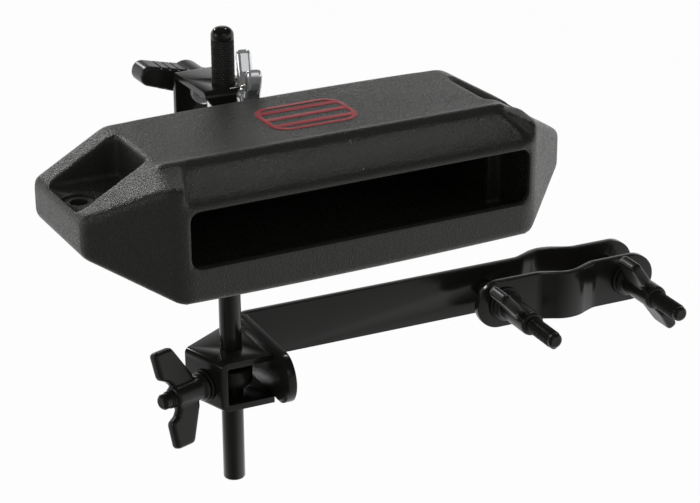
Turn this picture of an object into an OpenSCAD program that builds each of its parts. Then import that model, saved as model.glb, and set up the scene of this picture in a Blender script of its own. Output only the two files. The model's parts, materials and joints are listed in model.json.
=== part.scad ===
// Woodblock on a rod mount with a pole clamp. Millimetres.
// Origin: pole axis at mid height of the clamp jaws. X runs along the block,
// Y runs away from the slot face, Z is up.

/* [Block body] */
// overall length of the block
block_length = 208.2; // [150:0.1:260]
// length of the flat top and of the flat front face
flat_length = 149.2; // [100:0.1:200]
// depth from slot face to back face
block_depth = 76.5; // [50:0.1:110]
// height of the block
block_height = 48.1; // [30:0.1:80]
// how far the end facets of the front recede
facet_depth = 24.7; // [5:0.1:40]
// bottom of the upright end faces above the underside
end_low = 16.1; // [5:0.1:25]
// top of the upright end faces above the underside
end_high = 31.4; // [20:0.1:45]
// wall of the hollow body
block_wall = 5; // [3:0.1:8]
// radius of the upright front corners
front_corner_r = 12; // [2:0.5:20]
// radius of the long edges
edge_r = 3; // [1:0.1:6]
// radius of the small end corners
end_r = 2.2; // [0.5:0.1:4]

/* [Slot and scoop] */
// left end of the slot mouth inside the flat length
slot_left_inset = 4.8; // [0.5:0.1:20]
// right end of the slot mouth inside the flat length
slot_right_inset = 1; // [0.5:0.1:20]
// bottom of the slot mouth
slot_low = 14.1; // [8:0.1:20]
// top of the slot mouth
slot_high = 36.7; // [25:0.1:40]
// how much longer the hollow is than the slot mouth at each end
slot_relief = 0.8; // [0.2:0.1:3]
// corner radius of the slot mouth
slot_corner_r = 4; // [1:0.1:8]
// end of the scoop inside the flat length
scoop_inset = 6.1; // [2:0.1:20]
// how far the scoop reaches back on the top
scoop_reach = 21.2; // [10:0.1:30]
// how far the ends of the scoop flare out at the slot face
scoop_flare = 7.5; // [0:0.1:9]
// depth of the flare behind the slot face
scoop_flare_depth = 14; // [2:0.1:18]
// plan radius where the flare starts
scoop_flare_r = 8; // [1:0.1:12]
// plan corner radius at the ends of the scoop
scoop_corner_r = 2.5; // [1:0.1:8]
// wall between the hollow and each end pocket
hollow_end_wall = 4.5; // [2:0.1:10]
// depth of the longer front part of the hollow
hollow_front_depth = 26; // [10:0.1:30]

/* [End pockets] */
// inner wall of each end pocket inside the flat length
pocket_step = 1.1; // [0.2:0.1:10]
// lip between each end pocket and the end of the block
pocket_lip = 1.9; // [1:0.1:8]
// front wall of the pockets from the slot face
pocket_front = 31.7; // [26:0.1:50]
// back wall of the pockets from the slot face
pocket_back = 64; // [50:0.1:72]
// height of the pocket floor
pocket_floor = 30.5; // [25:0.1:31]
// corner radius of the pockets
pocket_corner_r = 3; // [1:0.1:8]
// bolt hole distance from the end of the block
bolt_hole_inset = 8.1; // [7:0.1:14]
// bolt hole distance from the slot face
bolt_hole_y = 47.5; // [35:0.1:60]
// bolt hole radius
bolt_hole_r = 3.5; // [2:0.05:5]
// radius of the shallow seat round each bolt hole
bolt_seat_r = 6.4; // [4:0.05:8]
// depth of that seat
bolt_seat_depth = 0.8; // [0.2:0.05:3]

/* [Red inlay] */
// length of the inlay along the block
inlay_length = 38; // [20:0.1:60]
// width of the inlay
inlay_width = 27; // [15:0.1:40]
// outer corner radius of the inlay
inlay_corner_r = 8; // [2:0.1:12]
// width of the inlay rim
inlay_rim = 2; // [1:0.1:4]
// width of each bar in the inlay
inlay_bar = 3; // [1:0.1:6]
// distance between the bars
inlay_pitch = 7.6; // [4:0.1:12]
// depth of the inlay
inlay_depth = 0.6; // [0.2:0.05:1.5]
// inlay centre from the block centre
inlay_shift = 0.8; // [-10:0.1:10]
// inlay centre from the slot face
inlay_y = 48.5; // [30:0.1:60]

/* [Rod] */
// rod radius, a three eighths inch rod
rod_r = 4.7625; // [3:0.0005:8]
// rod bottom
rod_low = -54.1; // [-80:0.1:-20]
// rod top
rod_high = 151.1; // [130:0.1:180]
// radius of the domed rod end
rod_dome_r = 3.6; // [1:0.1:4.7]
// rod centre left of the pole axis, along the arm
rod_left = 169.4; // [120:0.1:220]
// rod centre in front of the pole axis, across the arm
rod_front = 15.45; // [0:0.1:40]
// rod centre left of the block centre
rod_shift = 13.8; // [0:0.1:40]
// rod centre behind the block back face
rod_gap = 18; // [12:0.1:40]

/* [Clearances] */
// running clearance of turning and sliding pieces
run_gap = 0.06; // [0.01:0.01:0.1]
// free clearance of held studs in plates
free_gap = 0.25; // [0.1:0.05:0.6]
// overrun of every cut
over = 1; // [0.2:0.1:3]
// play under a nut that turns
nut_gap = 0.05; // [0.02:0.01:0.2]

/* [Arm and clamp] */
// turn of the arm and lower bracket about the pole
arm_turn = -2.05; // [-15:0.05:15]
// thickness of the clamp plates
plate = 3.6; // [2:0.1:5]
// height of the arm and of the jaws
arm_height = 22.6; // [15:0.1:40]
// pole radius, a one inch pole
pole_r = 12.7; // [8:0.05:20]
// distance of the jaw faces from the pole axis
jaw_face = 7.6; // [4:0.1:12]
// clamp bolt distance from the pole axis
clamp_bolt_x = 32.5; // [24:0.1:50]
// centre of the round jaw ends from the pole axis
jaw_end_x = 35.2; // [26:0.1:54]
// slope of the jaw beside the bulge
bulge_slope = 24; // [10:1:40]
// angle at which the sloped sides meet the round part
bulge_cross = 7; // [2:0.5:10]
// inner radius where the jaw straightens beside the bulge
bulge_blend_r = 9; // [1:0.1:20]
// inner face of the end plate from the rod axis
end_plate_out = 13.3; // [10:0.1:30]
// centre of the round end of the end plate in front of the rod
end_plate_reach = 20; // [10:0.1:40]
// outer bend radius of the arm
bend_r = 5; // [3:0.1:12]

/* [Bolts and nuts] */
// radius of the threaded bolts
bolt_r = 3.1; // [2:0.05:5]
// radius of the clamp bolts
clamp_r = 4; // [3:0.05:5]
// radius of the clamp bolt heads
bolt_head_r = 7.4; // [4:0.1:10]
// height of the clamp bolt heads
bolt_head = 3.4; // [2:0.1:6]
// length of clamp bolt in front of the front jaw
bolt_reach = 46; // [20:0.1:70]
// radius of the plain washers
washer_r = 7; // [5:0.1:10]
// radius of the clamp washers
clamp_washer_r = 8.2; // [5:0.1:11]
// thickness of the plain washers
washer_t = 1.5; // [0.5:0.1:3]
// radius of the wing nut hub
hub_r = 5.1; // [4:0.05:8]
// barrel radius of the clamp nuts
clamp_hub_r = 5.6; // [5:0.05:8]
// barrel length of the clamp nuts
clamp_hub_length = 24.4; // [12:0.1:30]
// radius of the wing nut foot
foot_r = 6.4; // [5:0.05:9]
// foot radius of the clamp nuts
clamp_foot_r = 7.3; // [6:0.05:10]
// height of the wing nut foot
foot_h = 2; // [1:0.1:4]
// thickness of the wings
wing_t = 5; // [2:0.1:8]
// length of the wing nut hub
hub_length = 16.8; // [8:0.1:24]
// span of the clamp wings as a share of the lower wings
clamp_wing_share = 0.94; // [0.5:0.01:1]
// turn of the clamp wings from level
clamp_wing_turn = 46; // [-90:1:90]
// turn of the right nut past the left one
right_wing_more = 11; // [-90:1:90]
// lean of the lower wings from upright
lower_wing_turn = 18.5; // [-90:0.5:90]

/* [Lower strap] */
// strap plate thickness
strap_t = 2.8; // [2:0.1:4]
// outer bend radius of the strap
strap_bend = 3; // [0.5:0.1:6]
// top of the lower strap
strap_high = 8.6; // [4:0.1:20]
// bottom of the lower strap
strap_low = -14; // [-24:0.1:-8]
// distance of the angled plate from the rod axis
strap_face = 15.6; // [12:0.1:24]
// front edge of the strap in front of the rod axis
strap_front = 15.5; // [12:0.1:24]
// length of the angled plate
strap_plate = 23.5; // [16:0.1:30]
// back edge of the strap behind the rod axis
strap_back = 27; // [20:0.1:32]
// back corner of the strap from the rod axis
strap_corner = [2.9, 20.1];
// angle of the stud from the length of the block
stud_angle = 20; // [0:1:45]
// height of the lower stud
stud_height = -4; // [-10:0.1:6]
// radius of the lower stud
stud_r = 3.9; // [3:0.05:5]
// end of the lower stud from the rod axis
stud_reach = 40.3; // [30:0.1:60]
// outer radius of the eye rings
eye_r = 9; // [7:0.1:12]
// height of the lower eye ring
eye_height = 8; // [5:0.1:14]

/* [Upper bracket] */
// top of the upper strap
top_high = 127.4; // [110:0.1:150]
// plate thickness of the upper strap
top_t = 2.5; // [1.5:0.1:4]
// left edge of the upper strap from the rod axis
top_left = 12.3; // [8:0.1:20]
// right edge of the top plate from the rod axis
top_right = 6; // [5.5:0.1:9]
// right end of the top plate's front edge from the rod axis
top_nose = 1.4; // [0:0.1:6]
// length of the slanting corner of the top plate
top_nose_depth = 6.3; // [1:0.1:9]
// outer bend radius of the top plate
top_bend = 2.8; // [0.5:0.1:6]
// front face of the strap in front of the rod axis
top_front = 9.8; // [9:0.1:12]
// back face of the strap behind the rod axis
top_back = 23.7; // [18:0.1:30]
// bottom of the front and back flanges
flange_low = 101; // [90:0.1:112]
// top of the foot on the right side
foot_top = 113.6; // [110:0.1:114]
// right edge of the foot from the rod axis
foot_right = 22; // [16:0.1:30]
// left edge of the foot from the rod axis
foot_left = 5.6; // [5:0.1:8]
// back edge of the foot behind the rod axis
foot_back = 15.5; // [10:0.1:20]
// height of the upper stud
top_stud_z = 118.6; // [115:0.1:122]
// height of the upper eye ring
top_eye_height = 8; // [5:0.1:10]
// radius of the upper eye ring
top_eye_r = 7.1; // [6.5:0.1:7.2]
// radius of the upper collar
collar_r = 6.2; // [5:0.1:6.3]
// thickness of the collars
collar_t = 3; // [1:0.1:5]

/* [Ribbed knob] */
// half span of the knob
knob_span = 24.8; // [15:0.1:35]
// depth of the knob wings
knob_depth = 12; // [6:0.1:20]
// height of the knob wings
knob_height = 8.2; // [6:0.1:16]
// height of the knob bar at its hub
knob_root = 10.8; // [6:0.1:20]
// how far the hub stands proud of the wings
knob_set = 0.8; // [0.2:0.1:2]
// corner radius of the knob wing tips
knob_tip_r = 3.9; // [1:0.1:4]
// radius of the knob hub
knob_hub_r = 7.2; // [6:0.1:12]
// length of the knob hub
knob_hub = 18; // [8:0.1:24]
// tilt of the knob wings
knob_tilt = 16.5; // [-90:0.5:90]
// depth of the grip grooves
groove_depth = 0.8; // [0.2:0.05:2]
// width of the grip grooves
groove_width = 0.8; // [0.5:0.05:3]
// distance between the grip grooves
groove_pitch = 4; // [2:0.05:6]
// first groove from the knob axis
groove_first = 8.8; // [8:0.1:20]

/* [Block mount] */
// thickness of the block mount plate
mount_t = 2.5; // [1.5:0.1:4]
// half length of the mount plate
mount_half = 25; // [15:0.1:40]
// bottom of the mount plate above the block underside
mount_low = 8; // [5:0.1:20]
// half distance of the mount screws along the plate
screw_x = 19; // [10:0.1:35]
// height of the lower mount screws above the block underside
screw_low = 13; // [8:0.1:20]
// height of the upper mount screws above the block underside
screw_high = 26; // [20:0.1:26]
// mount screw radius
screw_r = 2; // [1:0.05:3]
// mount screw head radius
screw_head_r = 3.8; // [2:0.1:5]
// mount screw head height
screw_head = 2.4; // [1:0.1:4]
// depth of the mount screws in the block
screw_depth = 4; // [2:0.1:4.4]
// pivot stud right of the rod axis
pivot_x = 14; // [12:0.1:20]
// pivot stud behind the rod axis
pivot_y = 5.6; // [0:0.1:12]
// pivot stud radius
pivot_r = 3; // [2:0.05:4]
// pivot stud top
pivot_top = 123; // [120:0.1:130]
// pivot washer radius
pivot_washer_r = 6; // [4:0.1:8]
// pivot washer thickness
pivot_washer_t = 1.2; // [0.5:0.1:2]
// half span of the chrome wings
chrome_span = 16.2; // [8:0.1:18]
// thickness of the chrome wings
chrome_wing_t = 5.6; // [2:0.1:7]
// turn of the chrome wings from the depth direction
chrome_turn = -15.8; // [-20:0.1:20]
// hub radius of the chrome wing nut
chrome_hub_r = 4.8; // [4:0.05:7]
// hub height of the chrome wing nut
chrome_hub = 6; // [4:0.1:10]

/* [Hidden] */
$fn = 64;
strap_clear = strap_face + strap_back + end_plate_out;
arc_steps = 6;
sides = [-1, 1];
half = block_length / 2;
flat = flat_length / 2;
slot_left = flat - slot_left_inset;
slot_right = flat - slot_right_inset;
scoop_half = flat - scoop_inset;
pocket_inner = flat - pocket_step;
pocket_outer = half - pocket_lip;
bolt_hole_out = half - bolt_hole_inset;
hollow_half = pocket_inner - hollow_end_wall;
post_x = -rod_left;
post_y = -rod_front;
rod_x = post_x * cos(arm_turn) - post_y * sin(arm_turn);
rod_y = post_x * sin(arm_turn) + post_y * cos(arm_turn);
block_x = rod_x + rod_shift;
block_y = rod_y - rod_gap - block_depth;
block_z = 77;
arm_y = jaw_face;
strap_mid = (strap_high + strap_low) / 2;
end_x = post_x + end_plate_out;
jaw_end_r = arm_height / 2;
jaw_back = jaw_face + plate;
bulge_r = pole_r + plate;
bolt_tip = -jaw_back - bolt_reach;
nut_seat = jaw_back + washer_t + nut_gap;
flange_front = rod_y - top_front;
flange_back = rod_y + top_back;
mount_y = rod_y - rod_gap;
shelf_top = foot_top - top_t;
pivot_seat = foot_top + pivot_washer_t + nut_gap;

// side view of the scoop: distance from the slot face, drop below the top
scoop_sizes = [[0, 9.9], [0.7, 9], [2, 8.1], [4, 7.1], [7, 5.8], [10, 4.7], [13, 3.8],
  [16, 3], [18.4, 2.2], [20, 1.3], [20.8, 0.5], [21.2, 0]];
// ceiling of the hollow behind the slot: distance from the slot face, drop below the top
ceiling_sizes = [[22.5, 4.5], [17, 6.5], [5, 11.1]];
// wing outline of the butterfly nuts: distance from the axis, distance along the axis
wing_sizes = [[0, 5.6], [5, 4.9], [7, 4.9], [20.2, 9], [21.5, 10], [22, 11.6], [22, 21.4],
  [21.5, 22.6], [20.4, 23.2], [11.2, 24], [9.6, 23.6], [7.6, 20.6], [5, 18.8], [0, 18.6]];
// the same for the smaller nut of the lower bracket
small_wing_sizes = [[0, 5], [5, 4.4], [7, 4.6], [19.6, 11.2], [20.8, 12], [21.2, 13.2], [21.2, 20],
  [20.8, 21.2], [19.8, 21.8], [10.6, 21.6], [9.2, 21], [7.4, 17.6], [5, 15.8], [0, 15.6]];
// wing outline of the chrome nut: distance from the axis, height above its seat
chrome_sizes = [[0, 0.6], [5.4, 0.8], [8, 1.8], [10, 4.4], [11.6, 7], [14.6, 10], [16, 12.6],
  [16.2, 15.4], [15.4, 17.2], [13.8, 17.8], [12, 17], [10.4, 14], [8.6, 10.6], [6.6, 8], [4.6, 6.4], [0, 6]];
// front flange of the upper strap: right of the rod axis, height
flange_sizes = [[-12.3, 127.4], [-12.3, 125.8], [-8.6, 120.6], [-8.6, 111.1], [22, 111.1],
  [22, 116], [18, 119], [4, 120], [1.4, 122], [1.4, 127.4]];

function unit(p) = p / norm(p);
function corner_arc(a, p, b, r) = let (
    u = unit(a - p), v = unit(b - p), open = acos(u * v) / 2,
    c = p + unit(u + v) * r / sin(open),
    s = p + u * r / tan(open) - c, e = p + v * r / tan(open) - c,
    from = atan2(s.y, s.x), turn = atan2(s.x * e.y - s.y * e.x, s * e))
  [for (i = [0:arc_steps]) c + r * [cos(from + turn * i / arc_steps), sin(from + turn * i / arc_steps)]];
function rounded(points, radii) = [for (i = [0:len(points) - 1])
  let (n = len(points)) each radii[i] == 0 ? [points[i]] :
    corner_arc(points[(i + n - 1) % n], points[i], points[(i + 1) % n], radii[i])];
function box_points(x0, y0, x1, y1) = [[x0, y0], [x1, y0], [x1, y1], [x0, y1]];
function under_top(sizes) = [for (p = sizes) [p.x, block_height - p.y]];
function mirrored(points) = [for (i = [len(points) - 1:-1:0]) [-points[i].x, points[i].y]];

hollow_points = concat([[block_wall, block_wall], [block_depth - hollow_end_wall, block_wall],
  [block_depth - hollow_end_wall, block_height - hollow_end_wall]], under_top(ceiling_sizes));
plan_points = [[-half, block_depth], [-half, facet_depth], [-flat, 0], [flat, 0],
  [half, facet_depth], [half, block_depth]];
plan_radii = [end_r, end_r, front_corner_r, front_corner_r, end_r, end_r];
front_points = [[-half, end_low], [-half, end_high], [-flat, block_height], [flat, block_height],
  [half, end_high], [half, end_low], [flat, 0], [-flat, 0]];
front_radii = [end_r, end_r, edge_r, edge_r, end_r, end_r, edge_r, edge_r];
top_points = [[-top_left, -top_front], [top_nose, -top_front], [top_right, top_nose_depth - top_front],
  [top_right, top_back], [-top_left, top_back]];
strap_left = [strap_face * -cos(stud_angle), strap_face * -sin(stud_angle)];
strap_run = [-sin(stud_angle), cos(stud_angle)];
strap_a = strap_left - strap_run * ((strap_left.y + strap_front) / strap_run.y);
strap_b = strap_a + strap_run * strap_plate;
strap_points = [[end_plate_out, -strap_front], strap_a, strap_b, strap_corner, [end_plate_out, strap_back]];

// extrude a side view (distance from the slot face, height) along X
module along_x(from, to) {
  translate([from, 0, 0]) rotate([90, 0, 90]) linear_extrude(to - from) children();
}

// extrude a front view (X, height) along Y
module along_y(from, to) {
  translate([0, to, 0]) rotate([90, 0, 0]) linear_extrude(to - from) children();
}

// turn about the X axis so that a nut built along Z points to the front
module to_front() {
  rotate([90, 0, 0]) children();
}

module at_block() {
  translate([block_x, block_y, block_z]) children();
}

module at_rod(z) {
  translate([rod_x, rod_y, z]) children();
}

// rod frame of the lower bracket, which turns with the arm
module at_post(z) {
  at_rod(z) rotate([0, 0, arm_turn]) children();
}

// stud frame of the lower bracket: Z runs out along the stud
module at_lower_stud() {
  at_post(stud_height) rotate([0, 0, stud_angle]) rotate([0, -90, 0]) children();
}

module arm_turned() {
  rotate([0, 0, arm_turn]) children();
}

module block_hull() {
  intersection() {
    linear_extrude(block_height) polygon(rounded(plan_points, plan_radii));
    along_y(0, block_depth) polygon(rounded(front_points, front_radii));
    along_x(-half, half)
      polygon(rounded(box_points(0, 0, block_depth, block_height), [edge_r, edge_r, edge_r, edge_r]));
  }
}

module scoop() {
  intersection() {
    along_x(-half, half) polygon(concat([[-over, block_height + over],
      [-over, block_height - scoop_sizes[0].y]], under_top(scoop_sizes), [[scoop_reach, block_height + over]]));
    linear_extrude(block_height + over) polygon(rounded([[-scoop_half - scoop_flare, -over],
      [scoop_half + scoop_flare, -over], [scoop_half, scoop_flare_depth], [scoop_half, scoop_reach],
      [-scoop_half, scoop_reach], [-scoop_half, scoop_flare_depth]],
      [0, 0, scoop_flare_r, scoop_corner_r, scoop_corner_r, scoop_flare_r]));
  }
}

module hollow() {
  along_x(-hollow_half, hollow_half) polygon(hollow_points);
  intersection() {
    along_x(-slot_left - slot_relief, slot_right + slot_relief) polygon(hollow_points);
    linear_extrude(block_height) polygon(box_points(-half, 0, half, hollow_front_depth));
  }
  along_y(-over, block_wall + over) polygon(rounded(
    box_points(-slot_left, slot_low, slot_right, slot_high),
    [slot_corner_r, slot_corner_r, slot_corner_r, slot_corner_r]));
}

module end_pockets() {
  for (s = sides) {
    translate([0, 0, pocket_floor]) linear_extrude(block_height) polygon(rounded(
      box_points(min(s * pocket_inner, s * pocket_outer), pocket_front,
        max(s * pocket_inner, s * pocket_outer), pocket_back),
      [pocket_corner_r, pocket_corner_r, pocket_corner_r, pocket_corner_r]));
    translate([s * bolt_hole_out, bolt_hole_y, 0]) {
      cylinder(r = bolt_hole_r, h = block_height);
      translate([0, 0, pocket_floor - bolt_seat_depth]) cylinder(r = bolt_seat_r, h = over + over);
    }
  }
}

module inlay_shape() {
  rim = box_points(-inlay_length / 2, -inlay_width / 2, inlay_length / 2, inlay_width / 2);
  core = box_points(inlay_rim - inlay_length / 2, inlay_rim - inlay_width / 2,
    inlay_length / 2 - inlay_rim, inlay_width / 2 - inlay_rim);
  core_r = inlay_corner_r - inlay_rim;
  difference() {
    polygon(rounded(rim, [inlay_corner_r, inlay_corner_r, inlay_corner_r, inlay_corner_r]));
    difference() {
      polygon(rounded(core, [core_r, core_r, core_r, core_r]));
      for (i = sides) translate([i * inlay_pitch, 0]) square([inlay_bar, inlay_width], center = true);
      square([inlay_bar, inlay_width], center = true);
    }
  }
}

module inlay_at() {
  translate([block_x + inlay_shift, block_y + inlay_y, block_z + block_height - inlay_depth]) children();
}

module block_body() {
  color([0.09, 0.09, 0.1]) difference() {
    at_block() difference() {
      block_hull();
      scoop();
      hollow();
      end_pockets();
    }
    inlay_at() linear_extrude(inlay_depth + over) inlay_shape();
    for (sx = sides, z = [screw_low, screw_high])
      translate([rod_x + sx * screw_x, mount_y + over, block_z + z])
        to_front() cylinder(r = screw_r, h = screw_depth + over);
  }
}

module red_inlay() {
  color([0.6, 0.03, 0.05]) inlay_at() linear_extrude(inlay_depth) inlay_shape();
}

module mount_plate() {
  color([0.05, 0.05, 0.05]) difference() {
    union() {
      translate([rod_x - mount_half, mount_y, block_z + mount_low])
        cube([mount_half + mount_half, mount_t, shelf_top - block_z - mount_low]);
      translate([rod_x + foot_left, mount_y, shelf_top - mount_t])
        cube([foot_right - foot_left, rod_gap + foot_back, mount_t]);
    }
    for (sx = sides, z = [screw_low, screw_high])
      translate([rod_x + sx * screw_x, mount_y + mount_t + over, block_z + z])
        to_front() cylinder(r = screw_r + free_gap, h = mount_t + over + over);
    at_rod(shelf_top - mount_t - over) translate([pivot_x, pivot_y, 0])
      cylinder(r = pivot_r, h = mount_t + over + over);
  }
}

module mount_screw(sx, z) {
  color([0.6, 0.6, 0.62]) translate([rod_x + sx * screw_x, mount_y + mount_t, block_z + z]) {
    rotate([-90, 0, 0]) cylinder(r = screw_head_r, h = screw_head);
    to_front() cylinder(r = screw_r, h = mount_t + screw_depth);
  }
}

module mount_screw_a() {
  mount_screw(-1, screw_low);
}

module mount_screw_b() {
  mount_screw(1, screw_low);
}

module mount_screw_c() {
  mount_screw(-1, screw_high);
}

module mount_screw_d() {
  mount_screw(1, screw_high);
}

module pivot_stud() {
  color([0.8, 0.8, 0.82]) at_rod(0) translate([pivot_x, pivot_y, 0]) {
    translate([0, 0, shelf_top - mount_t - bolt_head]) cylinder(r = pivot_washer_r, h = bolt_head);
    translate([0, 0, shelf_top - mount_t]) cylinder(r = pivot_r, h = pivot_top - shelf_top + mount_t);
  }
}

module pivot_washer() {
  color([0.8, 0.8, 0.82]) at_rod(foot_top) translate([pivot_x, pivot_y, 0]) difference() {
    cylinder(r = pivot_washer_r, h = pivot_washer_t);
    translate([0, 0, -over]) cylinder(r = pivot_r, h = pivot_washer_t + over + over);
  }
}

module pivot_wing_nut() {
  color([0.8, 0.8, 0.82]) at_rod(pivot_seat) translate([pivot_x, pivot_y, 0])
    rotate([0, 0, chrome_turn]) difference() {
      union() {
        cylinder(r = chrome_hub_r, h = chrome_hub);
        rotate([0, 0, 90]) along_y(-chrome_wing_t / 2, chrome_wing_t / 2)
          polygon(concat(chrome_sizes, mirrored(chrome_sizes)));
      }
      translate([0, 0, -over]) cylinder(r = pivot_r + run_gap, h = hub_length);
    }
}

module upper_strap() {
  color([0.05, 0.05, 0.05]) difference() {
    union() {
      intersection() {
        union() {
          at_rod(top_high - top_t) linear_extrude(top_t) polygon(top_points);
          translate([rod_x, 0, 0]) along_y(flange_front, flange_front + top_t) polygon(flange_sizes);
          translate([rod_x - top_left, flange_back - top_t, flange_low])
            cube([top_left + top_right, top_t, top_high - flange_low]);
        }
        translate([rod_x, 0, 0]) along_x(-foot_right, foot_right) polygon(rounded(
          box_points(flange_front, flange_low, flange_back, top_high), [0, 0, top_bend, top_bend]));
      }
      translate([rod_x + foot_left, flange_front, foot_top - top_t])
        cube([foot_right - foot_left, top_front + foot_back, top_t]);
    }
    at_rod(top_high - top_t - over) cylinder(r = rod_r + run_gap, h = top_t + over + over);
    translate([rod_x, flange_back + over, top_stud_z])
      to_front() cylinder(r = bolt_r + free_gap, h = top_t + over + over);
    at_rod(foot_top - top_t - over) translate([pivot_x, pivot_y, 0])
      cylinder(r = pivot_r + free_gap, h = top_t + over + over);
  }
}

module upper_eye_bolt() {
  color([0.8, 0.8, 0.82]) difference() {
    union() {
      at_rod(top_stud_z - top_eye_height / 2) cylinder(r = top_eye_r, h = top_eye_height);
      at_rod(top_stud_z) rotate([-90, 0, 0]) cylinder(r = bolt_r, h = top_back + knob_hub - over);
    }
    at_rod(top_stud_z - top_eye_height) cylinder(r = rod_r + run_gap, h = top_eye_height + top_eye_height);
  }
}

module upper_collar() {
  color([0.8, 0.8, 0.82]) translate([rod_x, flange_back - top_t, top_stud_z]) to_front() difference() {
    cylinder(r = collar_r, h = collar_t);
    translate([0, 0, -over]) cylinder(r = bolt_r, h = collar_t + over + over);
  }
}

module knob_bar() {
  difference() {
    polygon(rounded([[-knob_span, -knob_height / 2], [0, -knob_root / 2], [knob_span, -knob_height / 2],
      [knob_span, knob_height / 2], [0, knob_root / 2], [-knob_span, knob_height / 2]],
      [knob_tip_r, 0, knob_tip_r, knob_tip_r, 0, knob_tip_r]));
    for (s = sides, t = sides, x = [for (i = [0:2]) groove_first + i * groove_pitch])
      translate([s * x, t * (knob_root - (knob_root - knob_height) * x / knob_span) / 2])
        square([groove_width, groove_depth + groove_depth], center = true);
  }
}

module ribbed_knob() {
  color([0.05, 0.05, 0.05]) translate([rod_x, flange_back + nut_gap, top_stud_z])
    rotate([-90, 0, 0]) difference() {
      union() {
        cylinder(r = knob_hub_r, h = knob_hub);
        translate([0, 0, knob_hub - knob_depth - knob_set]) rotate([0, 0, knob_tilt])
          linear_extrude(knob_depth) knob_bar();
      }
      translate([0, 0, -over]) cylinder(r = bolt_r + run_gap, h = knob_hub);
    }
}

module rod() {
  color([0.05, 0.05, 0.05]) at_rod(0) rotate_extrude() polygon(rounded(
    box_points(0, rod_low, rod_r, rod_high), [0, over / 2, rod_dome_r, 0]));
}

module lower_strap() {
  color([0.05, 0.05, 0.05]) difference() {
    intersection() {
      at_post(strap_low) linear_extrude(strap_high - strap_low) polygon(strap_points);
      at_post(0) rotate([0, 0, stud_angle]) along_y(-strap_clear, strap_clear) polygon(rounded(
        box_points(-strap_face, strap_low, strap_clear, strap_high), [strap_bend, 0, 0, strap_bend]));
    }
    at_post(strap_low + strap_t) linear_extrude(strap_high - strap_low - strap_t - strap_t)
      translate(strap_left * (-strap_t / strap_face)) rotate(stud_angle)
        translate([-strap_face, -strap_clear]) square([strap_clear, strap_clear + strap_clear]);
    at_post(strap_low - over) cylinder(r = rod_r + run_gap, h = strap_high - strap_low + over + over);
    at_lower_stud() cylinder(r = stud_r + free_gap, h = strap_face + over);
  }
}

module lower_eye_bolt() {
  color([0.05, 0.05, 0.05]) difference() {
    union() {
      at_rod(stud_height - eye_height / 2) cylinder(r = eye_r, h = eye_height);
      at_lower_stud() cylinder(r = stud_r, h = stud_reach);
    }
    at_rod(stud_height - eye_height) cylinder(r = rod_r + run_gap, h = eye_height + eye_height);
  }
}

module lower_collar() {
  color([0.05, 0.05, 0.05]) at_lower_stud() translate([0, 0, strap_face]) difference() {
    cylinder(r = washer_r, h = washer_t);
    translate([0, 0, -over]) cylinder(r = stud_r, h = washer_t + over + over);
  }
}

// butterfly nut with its seat at Z = 0 and its wings along X
module butterfly(wing, foot, barrel, reach, bore) {
  difference() {
    union() {
      cylinder(r = foot, h = foot_h);
      cylinder(r = barrel, h = reach);
      along_y(-wing_t / 2, wing_t / 2) polygon(concat(wing, mirrored(wing)));
    }
    translate([0, 0, -over]) cylinder(r = bore + run_gap, h = reach + over + over);
  }
}

module lower_wing_nut() {
  color([0.05, 0.05, 0.05]) at_lower_stud() translate([0, 0, strap_face + washer_t + nut_gap])
    rotate([0, 0, lower_wing_turn]) butterfly(small_wing_sizes, foot_r, hub_r, hub_length, stud_r);
}

// sloped sides of the bulge: the face at this distance, the round part at this radius
function bulge_points(face, r) = let (d = r * cos(bulge_cross), c = cos(bulge_slope),
  w = (d / c - face) / tan(bulge_slope), x = d * sin(bulge_slope), y = d * c)
  [[w, face], [x, y], [-x, y], [-w, face]];

module jaw_plan(left, right) {
  difference() {
    union() {
      circle(r = bulge_r);
      polygon(rounded(concat([[left, jaw_face], [right, jaw_face], [right, jaw_back]],
        bulge_points(jaw_back, bulge_r), [[left, jaw_back]]),
        [0, 0, 0, bulge_blend_r, 0, 0, bulge_blend_r, 0]));
    }
    circle(r = pole_r);
    polygon(rounded(concat([[-jaw_end_x, -bulge_r - over], [jaw_end_x, -bulge_r - over],
      [jaw_end_x, jaw_face]], bulge_points(jaw_face, pole_r), [[-jaw_end_x, jaw_face]]),
      [0, 0, 0, bulge_blend_r + plate, 0, 0, bulge_blend_r + plate, 0]));
  }
}

module arm_plan() {
  polygon(rounded([[end_x, post_y - end_plate_reach - jaw_end_r],
    [end_x + plate, post_y - end_plate_reach - jaw_end_r], [end_x + plate, arm_y],
    [-jaw_end_x, arm_y], [-jaw_end_x, arm_y + plate], [end_x, arm_y + plate]],
    [0, 0, bend_r - plate, 0, 0, bend_r]));
  jaw_plan(-jaw_end_x, jaw_end_x + jaw_end_r);
}

module arm_bar() {
  color([0.05, 0.05, 0.05]) arm_turned() difference() {
    translate([0, 0, -jaw_end_r]) linear_extrude(arm_height) arm_plan();
    round_end_cut([end_x - over, end_x + plate + over], post_y - end_plate_reach);
    for (s = sides) translate([s * clamp_bolt_x, bulge_r + over, 0])
      to_front() cylinder(r = clamp_r, h = bulge_r);
    jaw_end_cut(1, arm_y - over, arm_y + plate + over);
  }
}

// cut that leaves a half round front end on the end plate
module round_end_cut(xs, centre_y) {
  translate([xs[0], 0, 0]) rotate([90, 0, 90]) linear_extrude(xs[1] - xs[0]) difference() {
    translate([centre_y - arm_height, -arm_height]) square([arm_height, arm_height + arm_height]);
    translate([centre_y, 0]) circle(r = jaw_end_r);
  }
}

// cut that leaves a half round end on a jaw
module jaw_end_cut(s, from, to) {
  along_y(from, to) difference() {
    translate([s * (jaw_end_x + arm_height / 2), 0]) square([arm_height, arm_height + arm_height], center = true);
    translate([s * jaw_end_x, 0]) circle(r = jaw_end_r);
  }
}

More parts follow.
